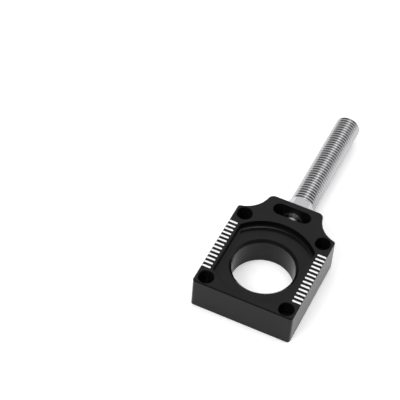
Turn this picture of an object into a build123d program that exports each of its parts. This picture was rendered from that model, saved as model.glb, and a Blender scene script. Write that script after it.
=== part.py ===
from build123d import *
from math import radians, tan
import os

# Chain adjuster: an axle block with a captive adjuster bolt. Sizes are in millimetres.
# The origin lies on the axle bore's axis, in the face that the block lies on.
# +X runs along the front edge, +Y along the bolt to its free end, +Z out of the scale face.

# Axle and the head that seats in the block
axle_diameter = 19.05
axle_clearance = 0.025
bore_chamfer = 0.8
bore_edge_break = 0.1
head_diameter = 30.75
head_clearance = 0.2
head_seat_depth = 2.3
seat_corner_radius = 1.0
seat_floor_radius = 0.8

# Block
block_width = 31.75
rail_width = 3.675
block_thickness = 11.25
front_lip = 0.6
shoulder_drop = 8.55
boss_width = 17.6
boss_corner_radius = 2.0
shoulder_corner_radius = 0.8
front_corner_radius = 1.0
edge_chamfer = 0.3

# Corner holes, set in from the outer edges
corner_hole_diameter = 4.7
corner_hole_chamfer = 0.15
corner_hole_side_wall = 0.8
corner_hole_front_wall = 0.6
corner_hole_rear_wall = 0.95

# Cross slot in the boss
slot_length = 12.2
slot_width = 4.45
slot_front_wall = 3.0
slot_rear_wall = 2.1

# Scale marks on both rails
mark_pitch = 1.5875
mark_count = 13
mark_width = 0.65
mark_depth = 0.2
mark_inset = 0.75
mark_clearance = 0.01

# Adjuster bolt
thread_diameter = 7.94
thread_length = 39.1
tip_chamfer = 0.8
collar_across_flats = 8.0
collar_length = 4.05
collar_chamfer_angle = 30.0
collar_turn = 7.6
journal_diameter = 6.5
journal_clearance = 0.05
tail_bearing_depth = 2.0
tail_chamfer = 0.4
tail_gap = 0.3
end_play = 0.1

# Retaining clip and its groove
groove_diameter = 5.5
clip_diameter = 7.1
clip_thickness = 0.8
clip_opening = 3.8
clip_clearance = 0.02

# Derived places
bore_radius = axle_diameter / 2 + axle_clearance
seat_radius = head_diameter / 2 + head_clearance
seat_floor = block_thickness - head_seat_depth
half_width = block_width / 2
seat_half_width = half_width - rail_width
front_edge = -(seat_radius + front_lip)
slot_front = seat_radius + slot_front_wall
slot_rear = slot_front + slot_width
boss_face = slot_rear + slot_rear_wall
cove_radius = shoulder_drop
cove_x = boss_width / 2 + cove_radius
bolt_height = block_thickness / 2
collar_front = boss_face + end_play
thread_start = collar_front + collar_length
bolt_tip = thread_start + thread_length
tail_bearing_end = slot_front - tail_bearing_depth
bolt_tail = tail_bearing_end + tail_gap
clip_rear = slot_rear - end_play
clip_front = clip_rear - clip_thickness


def along_bolt(solid):
    # Turns a solid that was made about +Z onto the bolt's axis, with its z as the row's y.
    return Pos(0, 0, bolt_height) * Rot(-90, 0, 0) * solid


def rod(radius, start, end):
    return Pos(0, 0, start) * Cylinder(radius, end - start, align=(Align.CENTER, Align.CENTER, Align.MIN))


def countersink(radius, depth, top):
    # Cone that breaks a hole's upper edge at 45 degrees.
    cone = Cone(radius, radius + depth, depth, align=(Align.CENTER, Align.CENTER, Align.MAX))
    return Pos(0, 0, top) * cone


def block_blank():
    length = boss_face - front_edge
    outline = Pos(0, (boss_face + front_edge) / 2) * Rectangle(2 * half_width, length)
    cove = Circle(cove_radius) + Pos(cove_radius, 0) * Rectangle(2 * cove_radius, 2 * cove_radius)
    outline -= Pos(cove_x, boss_face) * cove
    outline -= Pos(-cove_x, boss_face) * mirror(cove, Plane.YZ)
    blank = extrude(outline, block_thickness)
    uprights = blank.edges().filter_by(Axis.Z).group_by(Axis.Y)
    blank = fillet(uprights[-1], boss_corner_radius)
    uprights = blank.edges().filter_by(Axis.Z).group_by(Axis.Y)
    blank = fillet(uprights[0], front_corner_radius)
    rims = blank.edges().filter_by(Axis.Z).group_by(lambda edge: abs(edge.center().X))[-1]
    shoulders = [edge for edge in rims if edge.center().Y > 0]
    blank = fillet(shoulders, shoulder_corner_radius)
    faces = blank.faces().filter_by(Axis.Z)
    outer_edges = [edge for face in faces for edge in face.edges()]
    return chamfer(outer_edges, edge_chamfer)


def head_seat():
    # Round pocket with two flats that keep the axle's head from turning.
    outline = Circle(seat_radius) & Rectangle(2 * seat_half_width, 2 * seat_radius)
    outline = fillet(outline.vertices(), seat_corner_radius)
    pocket = Pos(0, 0, seat_floor) * extrude(outline, 2 * head_seat_depth)
    floor_edges = pocket.faces().sort_by(Axis.Z)[0].edges()
    return fillet(floor_edges, seat_floor_radius)


def corner_hole_places():
    radius = corner_hole_diameter / 2
    x = half_width - corner_hole_side_wall - radius
    front_y = front_edge + corner_hole_front_wall + radius
    reach = cove_radius + corner_hole_rear_wall + radius
    rear_y = boss_face - (reach**2 - (cove_x - x) ** 2) ** 0.5
    return [(side * x, y) for side in (-1, 1) for y in (front_y, rear_y)]


def corner_hole():
    radius = corner_hole_diameter / 2
    hole = rod(radius, -edge_chamfer, block_thickness + edge_chamfer)
    upper = countersink(radius, corner_hole_chamfer, block_thickness)
    lower = mirror(countersink(radius, corner_hole_chamfer, 0), Plane.XY)
    return hole + upper + lower


def axle_bore():
    hole = rod(bore_radius, -edge_chamfer, block_thickness)
    upper = countersink(bore_radius, bore_chamfer, seat_floor)
    lower = mirror(countersink(bore_radius, bore_edge_break, 0), Plane.XY)
    return hole + upper + lower


def cross_slot():
    outline = Pos(0, (slot_front + slot_rear) / 2) * SlotOverall(slot_length, slot_width)
    return Pos(0, 0, -edge_chamfer) * extrude(outline, block_thickness + 2 * edge_chamfer)


def bolt_bearings():
    radius = journal_diameter / 2 + journal_clearance
    return along_bolt(rod(radius, tail_bearing_end, boss_face + edge_chamfer))


def scale_bars(trim):
    # One bar for each mark, rounded at its inner end and open at the rail's side.
    width = mark_width - 2 * trim
    inner_x = seat_half_width + mark_inset + trim + width / 2
    outer_x = half_width + edge_chamfer
    bar = Pos((inner_x + outer_x) / 2, 0) * Rectangle(outer_x - inner_x, width)
    bar += Pos(inner_x, 0) * Circle(width / 2)
    right = extrude(bar, mark_depth)
    left = mirror(right, Plane.YZ)
    floor_z = block_thickness - mark_depth
    bars = []
    for index in range(mark_count):
        y = (index - (mark_count - 1) / 2) * mark_pitch
        bars += [Pos(0, y, floor_z) * right, Pos(0, y, floor_z) * left]
    return bars


def axle_block(blank):
    block = blank - head_seat() - axle_bore() - cross_slot() - bolt_bearings()
    block -= [Pos(x, y, 0) * corner_hole() for x, y in corner_hole_places()]
    return block - scale_bars(0)


def scale_marks(blank):
    return Compound(children=[blank & bar for bar in scale_bars(mark_clearance)])


def hex_collar():
    corner_radius = collar_across_flats / 3**0.5
    hexagon = RegularPolygon(corner_radius, 6, rotation=collar_turn)
    prism = Pos(0, 0, collar_front) * extrude(hexagon, collar_length)
    turned = rod(corner_radius, collar_front, thread_start)
    depth = corner_radius - collar_across_flats / 2
    drop = depth * tan(radians(collar_chamfer_angle))
    return prism & chamfer(turned.edges().filter_by(GeomType.CIRCLE), drop, depth)


def adjuster_bolt():
    journal = rod(journal_diameter / 2, bolt_tail, collar_front)
    journal = chamfer(journal.edges().group_by(Axis.Z)[0], tail_chamfer)
    groove_front = clip_front - clip_clearance
    groove_rear = clip_rear + clip_clearance
    groove = rod(clip_diameter / 2, groove_front, groove_rear)
    groove -= rod(groove_diameter / 2, groove_front, groove_rear)
    thread = rod(thread_diameter / 2, thread_start, bolt_tip)
    thread = chamfer(thread.edges().group_by(Axis.Z)[-1], tip_chamfer)
    return along_bolt(journal - groove + hex_collar() + thread)


def retaining_clip():
    # Open ring, pressed on from above with its mouth downwards.
    bore = groove_diameter / 2 + clip_clearance
    ring = rod(clip_diameter / 2, clip_front, clip_rear) - rod(bore, clip_front, clip_rear)
    mouth = Pos(0, clip_diameter / 2, (clip_front + clip_rear) / 2)
    ring -= mouth * Box(clip_opening, clip_diameter, clip_thickness)
    return along_bolt(ring)


blank = block_blank()
nodes = {
    "axle_block": axle_block(blank),
    "scale_marks": scale_marks(blank),
    "adjuster_bolt": adjuster_bolt(),
    "retaining_clip": retaining_clip(),
}

os.makedirs("parts", exist_ok=True)
for name, shape in nodes.items():
    export_step(shape, f"parts/{name}.step")
    print(name, round(shape.volume, 1), "cubic mm")
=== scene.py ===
from math import cos, pi, radians, tan

import bpy
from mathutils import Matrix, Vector


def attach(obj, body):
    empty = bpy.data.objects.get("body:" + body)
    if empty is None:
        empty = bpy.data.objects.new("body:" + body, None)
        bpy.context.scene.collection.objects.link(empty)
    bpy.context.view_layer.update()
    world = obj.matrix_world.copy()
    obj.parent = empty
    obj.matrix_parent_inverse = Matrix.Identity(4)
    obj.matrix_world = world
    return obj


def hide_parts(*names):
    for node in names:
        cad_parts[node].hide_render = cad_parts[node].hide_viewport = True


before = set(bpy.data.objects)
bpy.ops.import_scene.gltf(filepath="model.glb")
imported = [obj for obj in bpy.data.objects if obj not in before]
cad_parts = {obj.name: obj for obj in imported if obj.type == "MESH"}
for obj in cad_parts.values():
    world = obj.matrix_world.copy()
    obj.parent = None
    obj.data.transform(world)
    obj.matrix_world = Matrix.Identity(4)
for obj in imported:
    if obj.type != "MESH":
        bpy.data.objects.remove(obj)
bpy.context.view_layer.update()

mm = 0.001
weldGap = 0.0005 * mm


def deselectAll():
    if bpy.context.mode != "OBJECT":
        bpy.ops.object.mode_set(mode="OBJECT")
    bpy.ops.object.select_all(action="DESELECT")


def pickOnly(piece):
    deselectAll()
    piece.select_set(True)
    bpy.context.view_layer.objects.active = piece


def applyModifier(piece, kind, **settings):
    pickOnly(piece)
    modifier = piece.modifiers.new(kind.lower(), kind)
    for key, value in settings.items():
        setattr(modifier, key, value)
    bpy.ops.object.modifier_apply(modifier=modifier.name)


def combine(piece, tool, how):
    # joins or crops a piece with a tool that is used up
    applyModifier(piece, "BOOLEAN", operation=how, object=tool, solver="EXACT")
    toolMesh = tool.data
    bpy.data.objects.remove(tool)
    bpy.data.meshes.remove(toolMesh)


def cleanMesh(piece):
    pickOnly(piece)
    bpy.ops.object.mode_set(mode="EDIT")
    bpy.ops.mesh.select_all(action="SELECT")
    bpy.ops.mesh.remove_doubles(threshold=weldGap)
    bpy.ops.mesh.normals_make_consistent(inside=False)
    bpy.ops.object.mode_set(mode="OBJECT")


def extrudeBy(step):
    bpy.ops.mesh.extrude_region_move(TRANSFORM_OT_translate={"value": step})


def turnOnLathe(name, profile, sides):
    # profile is a list of (radius, height) in millimetres, drawn up from the first disc
    deselectAll()
    radius, height = profile[0]
    bpy.ops.mesh.primitive_circle_add(
        vertices=sides, radius=radius * mm, fill_type="NGON", location=(0, 0, height * mm)
    )
    piece = bpy.context.object
    piece.name = name
    bpy.ops.object.transform_apply(location=True)
    bpy.ops.object.mode_set(mode="EDIT")
    bpy.ops.mesh.select_all(action="SELECT")
    for nextRadius, nextHeight in profile[1:]:
        grow = nextRadius / radius
        extrudeBy((0, 0, (nextHeight - height) * mm))
        bpy.ops.transform.resize(
            value=(grow, grow, 1), center_override=(0, 0, nextHeight * mm)
        )
        radius, height = nextRadius, nextHeight
    bpy.ops.object.mode_set(mode="OBJECT")
    cleanMesh(piece)
    return piece


# adjuster bolt: turned journal, hexagon collar and a rolled 5/16-24 thread,
# made upright and then laid along +Y; sizes in millimetres and degrees
bolt = {
    "axisHeight": 5.625,
    "tail": 16.875,
    "tailChamfer": 0.4,
    "journalRadius": 3.25,
    "grooveRadius": 2.75,
    "grooveFront": 22.105,
    "grooveRear": 22.945,
    "collarFront": 25.225,
    "collarRear": 29.275,
    "collarSides": 6,
    "collarFlats": 8.0,
    "collarTurn": 7.6,
    "collarChamfer": 30,
    "collarEdge": 0.12,
    "collarEdgeSteps": 3,
    "collarRoom": 0.3,
    "tip": 68.375,
    "tipChamfer": 0.8,
    "tipRoom": 0.2,
    "crestRadius": 3.97,
    "threadDepth": 0.5,
    "pitch": 1.0583,
    "crestFlat": 0.24,
    "rootFlat": 0.17,
    "crestEase": 0.05,
    "rootEase": 0.04,
    "easeAngles": (18, 42),
    "spareTeeth": 4,
    "toothWeld": 0.001,
    "endCut": 0.0001,
    "sides": 96,
    "overlap": 0.6,
    "smoothAngle": 32,
}


def toothLine(b):
    # steps (out, along) of one tooth: root, eased flank, crest, and the flank down again
    flank = (b["pitch"] - b["crestFlat"] - b["rootFlat"]) / 2
    slopes = [tan(radians(angle)) for angle in b["easeAngles"]]
    foot = [(b["rootEase"] * slope, b["rootEase"]) for slope in slopes]
    brow = [(b["crestEase"] * slope, b["crestEase"]) for slope in slopes[::-1]]
    easedOut, easedAlong = [sum(step) for step in zip(*foot, *brow)]
    rise = foot + [(b["threadDepth"] - easedOut, flank - easedAlong)] + brow
    fall = [(-out, along) for out, along in rise[::-1]]
    return [(0, b["rootFlat"])] + rise + [(0, b["crestFlat"])] + fall


def threadedShank(b):
    # one tooth is drawn as a line, repeated up the shank and screwed round by one pitch
    deselectAll()
    rootRadius = b["crestRadius"] - b["threadDepth"]
    low = b["collarRear"] - b["pitch"] - b["rootFlat"] / 2
    teeth = int((b["tip"] - low) / b["pitch"]) + b["spareTeeth"]
    firstTooth = low - b["spareTeeth"] / 2 * b["pitch"]
    bpy.ops.mesh.primitive_plane_add(size=mm)
    shank = bpy.context.object
    shank.name = "boltShank"
    bpy.ops.object.mode_set(mode="EDIT")
    bpy.ops.mesh.select_all(action="SELECT")
    bpy.ops.mesh.merge(type="CENTER")
    bpy.ops.transform.translate(value=(rootRadius * mm, 0, firstTooth * mm))
    for out, along in toothLine(b):
        extrudeBy((out * mm, 0, along * mm))
    weld = {"use_merge_vertices": True, "merge_threshold": b["toothWeld"] * mm}
    applyModifier(
        shank, "ARRAY", count=teeth, use_relative_offset=False, use_constant_offset=True,
        constant_offset_displace=(0, 0, b["pitch"] * mm), **weld,
    )
    applyModifier(
        shank, "SCREW", axis="Z", angle=2 * pi, screw_offset=b["pitch"] * mm, iterations=1,
        steps=b["sides"], render_steps=b["sides"], **weld,
    )
    cleanMesh(shank)
    bpy.ops.object.mode_set(mode="EDIT")
    for height, side in ((low, -1), (b["tip"], 1)):
        bpy.ops.mesh.select_all(action="SELECT")
        bpy.ops.mesh.bisect(
            plane_co=(0, 0, height * mm), plane_no=(0, 0, side),
            use_fill=True, clear_outer=True, threshold=b["endCut"] * mm,
        )
    bpy.ops.object.mode_set(mode="OBJECT")
    cleanMesh(shank)
    outer = b["crestRadius"] + b["tipRoom"]
    envelope = turnOnLathe("tipTurning", [
        (outer, low - b["tipRoom"]),
        (outer, b["tip"] - b["tipChamfer"] - b["tipRoom"]),
        (b["crestRadius"] - b["tipChamfer"], b["tip"]),
    ], b["sides"])
    combine(shank, envelope, "INTERSECT")
    return shank


def hexCollar(b):
    deselectAll()
    halfFacet = 180 / b["collarSides"]
    rim = b["collarFlats"] / 2
    cornerRadius = rim / cos(radians(halfFacet))
    length = b["collarRear"] - b["collarFront"]
    bpy.ops.mesh.primitive_cylinder_add(
        vertices=b["collarSides"], radius=cornerRadius * mm, depth=length * mm,
        location=(0, 0, (b["collarFront"] + length / 2) * mm),
        rotation=(0, 0, radians(b["collarTurn"] - halfFacet)),
    )
    collar = bpy.context.object
    collar.name = "boltCollar"
    bpy.ops.object.transform_apply(location=True, rotation=True)
    bpy.ops.object.mode_set(mode="EDIT")
    bpy.ops.mesh.select_all(action="DESELECT")
    bpy.ops.object.mode_set(mode="OBJECT")
    for edge in collar.data.edges:
        ends = [collar.data.vertices[i].co for i in edge.vertices]
        edge.select = abs(ends[0].z - ends[1].z) > length / 2 * mm
    bpy.ops.object.mode_set(mode="EDIT")
    bpy.ops.mesh.select_mode(type="EDGE")
    bpy.ops.mesh.bevel(
        offset=b["collarEdge"] * mm, segments=b["collarEdgeSteps"], affect="EDGES"
    )
    bpy.ops.mesh.select_mode(type="VERT")
    bpy.ops.object.mode_set(mode="OBJECT")
    out = cornerRadius - rim + b["collarRoom"]
    drop = out * tan(radians(b["collarChamfer"]))
    turning = turnOnLathe("collarTurning", [
        (rim, b["collarFront"]),
        (rim + out, b["collarFront"] + drop),
        (rim + out, b["collarRear"] - drop),
        (rim, b["collarRear"]),
    ], b["sides"])
    combine(collar, turning, "INTERSECT")
    return collar


def adjusterBolt(b):
    journal = turnOnLathe("adjusterBoltThreaded", [
        (b["journalRadius"] - b["tailChamfer"], b["tail"]),
        (b["journalRadius"], b["tail"] + b["tailChamfer"]),
        (b["journalRadius"], b["grooveFront"]),
        (b["grooveRadius"], b["grooveFront"]),
        (b["grooveRadius"], b["grooveRear"]),
        (b["journalRadius"], b["grooveRear"]),
        (b["journalRadius"], b["collarFront"] + b["overlap"]),
    ], b["sides"])
    combine(journal, hexCollar(b), "UNION")
    combine(journal, threadedShank(b), "UNION")
    pickOnly(journal)
    journal.rotation_euler = (radians(-90), 0, 0)
    journal.location = (0, 0, b["axisHeight"] * mm)
    bpy.ops.object.transform_apply(location=True, rotation=True)
    cleanMesh(journal)
    bpy.ops.object.shade_smooth_by_angle(angle=radians(b["smoothAngle"]))
    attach(journal, "bolt")
    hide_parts("adjuster_bolt")
    return journal


boltPiece = adjusterBolt(bolt)
print("bolt modelled:", len(boltPiece.data.polygons), "faces")


def newMaterial(name):
    material = bpy.data.materials.new(name)
    material.use_nodes = True
    tree = material.node_tree
    return material, tree, tree.nodes["Principled BSDF"]


def feed(tree, socket, source):
    # a socket takes a link from another node, or else a plain value
    if isinstance(source, bpy.types.NodeSocket):
        tree.links.new(source, socket)
    else:
        socket.default_value = source


def addNode(tree, kind, **inputs):
    node = tree.nodes.new(kind)
    for key, source in inputs.items():
        feed(tree, node.inputs[key], source)
    return node


def mathStep(tree, operation, first, second):
    node = tree.nodes.new("ShaderNodeMath")
    node.operation = operation
    feed(tree, node.inputs[0], first)
    feed(tree, node.inputs[1], second)
    return node.outputs[0]


def vectorStep(tree, operation, vector, other, output="Vector"):
    node = tree.nodes.new("ShaderNodeVectorMath")
    node.operation = operation
    feed(tree, node.inputs[0], vector)
    feed(tree, node.inputs[1], other)
    return node.outputs[output]


def vectorLength(tree, vector):
    node = tree.nodes.new("ShaderNodeVectorMath")
    node.operation = "LENGTH"
    feed(tree, node.inputs[0], vector)
    return node.outputs["Value"]


def mapRange(tree, value, start, end, interpolation="LINEAR"):
    node = addNode(tree, "ShaderNodeMapRange", Value=value)
    node.interpolation_type = interpolation
    for key, number in zip(("From Min", "From Max", "To Min", "To Max"), start + end):
        node.inputs[key].default_value = number
    return node.outputs["Result"]


def objectNoise(tree, grain):
    # noise on Object coordinates, finer along an axis with a larger stretch
    place = tree.nodes.new("ShaderNodeTexCoord").outputs["Object"]
    stretch = grain.get("stretch", (1, 1, 1))
    mapping = addNode(tree, "ShaderNodeMapping", Vector=place, Scale=stretch)
    noise = addNode(
        tree, "ShaderNodeTexNoise",
        Vector=mapping.outputs["Vector"], Scale=grain["scale"], Detail=grain["detail"],
    )
    return noise.outputs["Fac"]


def twoTone(tree, factor, stops):
    node = addNode(tree, "ShaderNodeValToRGB", Fac=factor)
    for point, (place, colour) in zip(node.color_ramp.elements, stops):
        point.position = place
        point.color = (*colour, 1)
    return node.outputs["Color"]


# share of a noise that the gloss is spread over
noiseSpan = (0.3, 0.7)


def setSurface(tree, shader, colour, glossGrain, bumpGrain, look):
    # colour, uneven gloss and a fine grain, the same way for every material
    feed(tree, shader.inputs["Base Color"], colour)
    feed(tree, shader.inputs["Roughness"], mapRange(tree, glossGrain, noiseSpan, look["gloss"]))
    relief = addNode(
        tree, "ShaderNodeBump",
        Strength=look["bumpStrength"], Distance=look["bumpDepth"], Height=bumpGrain,
    )
    feed(tree, shader.inputs["Normal"], relief.outputs["Normal"])


anodise = {
    "tones": [(0.35, (0.0035, 0.0035, 0.0037)), (0.7, (0.0055, 0.0055, 0.0057))],
    "cloud": {"scale": 160, "detail": 3},
    "grain": {"scale": 2600, "detail": 2},
    "gloss": (0.19, 0.26),
    "level": 0.165,
    "bumpDepth": 0.004 * mm,
    "bumpStrength": 0.6,
}


def blackAnodise(a):
    material, tree, shader = newMaterial("blackAnodise")
    cloud = objectNoise(tree, a["cloud"])
    grain = objectNoise(tree, a["grain"])
    setSurface(tree, shader, twoTone(tree, cloud, a["tones"]), grain, grain, a)
    shader.inputs["Specular IOR Level"].default_value = a["level"]
    return material


paint = {
    "tones": [(0.3, (0.7, 0.7, 0.69)), (0.55, (0.78, 0.78, 0.78))],
    "grain": {"scale": 3200, "detail": 3},
    "gloss": (0.5, 0.65),
    "bumpDepth": 0.006 * mm,
    "bumpStrength": 0.5,
}


def whitePaint(p):
    material, tree, shader = newMaterial("whiteMarkPaint")
    grain = objectNoise(tree, p["grain"])
    setSurface(tree, shader, twoTone(tree, grain, p["tones"]), grain, grain, p)
    return material


plating = {
    # the first, darker tone is painted shade for the thread's roots; the second is the plated
    # steel's own colour
    "tones": [(0.0, (0.28, 0.28, 0.285)), (0.75, (0.465, 0.465, 0.475))],
    "spots": {"scale": 700, "detail": 3},
    "rings": {"scale": 5200, "detail": 2, "stretch": (0.02, 1, 0.02)},
    "gloss": (0.18, 0.26),
    "bumpDepth": 0.003 * mm,
    "bumpStrength": 0.4,
}


def platedSteel(p, b):
    # painted shade: darker towards the thread's roots, no painted shade on the journal and the
    # collar
    material, tree, shader = newMaterial("platedBoltSteel")
    place = tree.nodes.new("ShaderNodeTexCoord").outputs["Object"]
    fromAxis = vectorStep(tree, "SUBTRACT", place, (0, 0, b["axisHeight"] * mm))
    radius = vectorLength(tree, vectorStep(tree, "MULTIPLY", fromAxis, (1, 0, 1)))
    rootRadius = b["crestRadius"] - b["threadDepth"]
    height = mapRange(tree, radius, (rootRadius * mm, b["crestRadius"] * mm), (0, 1))
    split = addNode(tree, "ShaderNodeSeparateXYZ", Vector=place)
    plain = mathStep(tree, "LESS_THAN", split.outputs["Y"], b["collarRear"] * mm)
    # painted shade mask: 0 in the thread's roots, 1 on the crests, the journal and the collar
    outOfRootShade = mathStep(tree, "MAXIMUM", height, plain)
    spots = objectNoise(tree, p["spots"])
    rings = objectNoise(tree, p["rings"])
    setSurface(tree, shader, twoTone(tree, outOfRootShade, p["tones"]), spots, rings, p)
    shader.inputs["Metallic"].default_value = 1
    return material


clipSteel = {
    "tones": [(0.35, (0.5, 0.5, 0.5)), (0.65, (0.68, 0.68, 0.68))],
    "grain": {"scale": 2400, "detail": 2, "stretch": (1, 0.1, 1)},
    "gloss": (0.28, 0.38),
    "bumpDepth": 0.003 * mm,
    "bumpStrength": 0.4,
}


def springSteel(c):
    material, tree, shader = newMaterial("clipSpringSteel")
    grain = objectNoise(tree, c["grain"])
    setSurface(tree, shader, twoTone(tree, grain, c["tones"]), grain, grain, c)
    shader.inputs["Metallic"].default_value = 1
    return material


def dress(piece, material):
    piece.data.materials.clear()
    piece.data.materials.append(material)


dress(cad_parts["axle_block"], blackAnodise(anodise))
dress(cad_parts["scale_marks"], whitePaint(paint))
dress(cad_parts["retaining_clip"], springSteel(clipSteel))
dress(boltPiece, platedSteel(plating, bolt))
print("materials set")


floorLook = {
    "size": 6.0,
    "drop": 0.02 * mm,
    "colour": (0.91, 0.91, 0.91),
    "lift": 0.22,
    "wellOpenness": (0.08, 0.25),
    "wellReach": 30 * mm,
}


def paleFloor(f):
    deselectAll()
    bpy.ops.mesh.primitive_plane_add(size=f["size"], location=(0, 0, -f["drop"]))
    floor = bpy.context.object
    floor.name = "paleFloor"
    material, tree, shader = newMaterial("paleFloorWhite")
    tree.nodes.remove(shader)
    matt = addNode(tree, "ShaderNodeBsdfDiffuse", Color=(*f["colour"], 1)).outputs[0]
    # no lift at the bottom of holes, where little light gets in
    openness = addNode(tree, "ShaderNodeAmbientOcclusion", Distance=f["wellReach"]).outputs["AO"]
    strength = mapRange(tree, openness, f["wellOpenness"], (0, f["lift"]), "SMOOTHSTEP")
    lift = addNode(tree, "ShaderNodeEmission", Strength=strength).outputs[0]
    lifted = tree.nodes.new("ShaderNodeAddShader")
    tree.links.new(matt, lifted.inputs[0])
    tree.links.new(lift, lifted.inputs[1])
    ray = tree.nodes.new("ShaderNodeLightPath").outputs
    seen = mathStep(tree, "MAXIMUM", ray["Is Camera Ray"], ray["Is Glossy Ray"])
    seen = mathStep(tree, "MAXIMUM", seen, ray["Is Transmission Ray"])
    mix = tree.nodes.new("ShaderNodeMixShader")
    for socket, source in zip(mix.inputs, (seen, matt, lifted.outputs[0])):
        tree.links.new(source, socket)
    tree.links.new(mix.outputs[0], tree.nodes["Material Output"].inputs["Surface"])
    floor.data.materials.append(material)


sky = {
    "roomAxis": (0.1, 0.995, 0),
    "roomSpan": (-0.3, 0.65),
    "roomStrength": (0.18, 1.12),
    "ovalCentre": (0.12, 0.0, 1),
    "ovalReach": (0.42, 0.5, 1),
    "ovalEdge": (1.0, 0.4),
    "ovalStrength": 4.1,
}


def studioSky(s):
    world = bpy.data.worlds.new("studioSky")
    bpy.context.scene.world = world
    world.use_nodes = True
    tree = world.node_tree
    direction = tree.nodes.new("ShaderNodeTexCoord").outputs["Generated"]
    # walls of the room, darkest behind the camera
    towards = vectorStep(tree, "DOT_PRODUCT", direction, s["roomAxis"], "Value")
    room = mapRange(tree, towards, s["roomSpan"], s["roomStrength"], "SMOOTHSTEP")
    # oval diffuser overhead, laid out on a plane one unit up
    split = addNode(tree, "ShaderNodeSeparateXYZ", Vector=direction)
    onPlane = vectorStep(tree, "DIVIDE", direction, split.outputs["Z"])
    fromCentre = vectorStep(tree, "SUBTRACT", onPlane, s["ovalCentre"])
    share = vectorLength(tree, vectorStep(tree, "DIVIDE", fromCentre, s["ovalReach"]))
    oval = mapRange(tree, share, s["ovalEdge"], (0, 1), "SMOOTHSTEP")
    mix = addNode(tree, "ShaderNodeMix", Factor=oval, A=room, B=s["ovalStrength"])
    background = tree.nodes["Background"]
    tree.links.new(mix.outputs["Result"], background.inputs["Strength"])
    background.inputs["Color"].default_value = (1, 1, 1, 1)


lampBox = {
    "place": (-0.3, -0.55, 0.62),
    "aim": (0, 0.02, 0),
    "size": (0.5, 0.5),
    "power": 5.1,
}


def softbox(box):
    # fills the front, and stays out of reflections
    deselectAll()
    bpy.ops.object.light_add(type="AREA", location=box["place"])
    lamp = bpy.context.object
    lamp.name = "softboxFront"
    lamp.data.shape = "RECTANGLE"
    lamp.data.size, lamp.data.size_y = box["size"]
    lamp.data.energy = box["power"]
    lamp.visible_glossy = False
    aim = Vector(box["aim"]) - lamp.location
    lamp.rotation_euler = aim.to_track_quat("-Z", "Y").to_euler()


view = {
    "place": (0.09655, -0.29646, 0.39129),
    "turn": (41.124, -3.038, 25.238),
    "lens": 150.7,
    "sensor": 36,
    "nearest": 0.01,
}


def photoCamera(v):
    turn = [radians(angle) for angle in v["turn"]]
    bpy.ops.object.camera_add(location=v["place"], rotation=turn)
    camera = bpy.context.object
    camera.data.lens = v["lens"]
    camera.data.sensor_width = v["sensor"]
    camera.data.clip_start = v["nearest"]
    bpy.context.scene.camera = camera


paleFloor(floorLook)
studioSky(sky)
softbox(lampBox)
photoCamera(view)
bpy.context.scene.view_settings.view_transform = "Standard"
print("studio and camera set")
